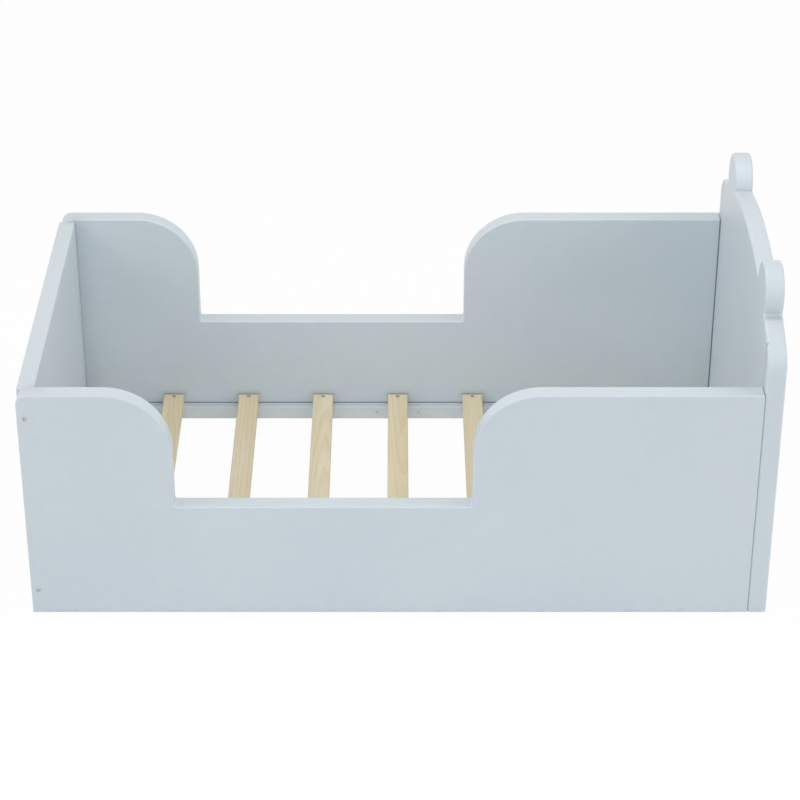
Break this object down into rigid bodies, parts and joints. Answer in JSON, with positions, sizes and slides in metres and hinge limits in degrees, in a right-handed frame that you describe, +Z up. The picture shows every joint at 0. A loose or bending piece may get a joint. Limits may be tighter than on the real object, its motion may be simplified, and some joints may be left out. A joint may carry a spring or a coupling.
{
  "type": "toddler floor bed",
  "caption": "Toddler floor bed of pale blue painted boards: crowned headboard with round animal ears, side panels cut down to low entry rails, and pine slats on battens.",
  "frame": {"origin": "on the floor under the middle of the bed's overall box", "axes": "+X from the foot panel to the headboard, +Y from the front side panel to the back one, +Z up from the floor"},
  "size_m": [1.423, 0.772, 0.6835],
  "materials": {
    "painted_board": "pale blue-grey paint, satin",
    "painted_batten": "pale blue-grey paint, satin",
    "pine": "planed pine, clear matt",
    "dowel_beech": "turned beech, bare",
    "joint_screw_steel": "zinc plated",
    "wood_screw_steel": "zinc plated"
  },
  "bodies": {
    "root": {"headboard": "painted_board", "foot_panel": "painted_board", "side_panel_front": "painted_board", "side_panel_back": "painted_board", "slat_batten_front": "painted_batten", "slat_batten_back": "painted_batten", "slat_1": "pine", "slat_2": "pine", "slat_3": "pine", "slat_4": "pine", "slat_5": "pine", "slat_6": "pine", "slat_7": "pine", "slat_8": "pine", "slat_9": "pine", "foot_joint_screws_front": "joint_screw_steel", "headboard_screws_front": "joint_screw_steel", "foot_dowels_front": "dowel_beech", "headboard_dowels_front": "dowel_beech", "slat_screws_front": "wood_screw_steel", "batten_screws_front": "wood_screw_steel", "foot_joint_screws_back": "joint_screw_steel", "headboard_screws_back": "joint_screw_steel", "foot_dowels_back": "dowel_beech", "headboard_dowels_back": "dowel_beech", "slat_screws_back": "wood_screw_steel", "batten_screws_back": "wood_screw_steel"}
  },
  "joints": []
}
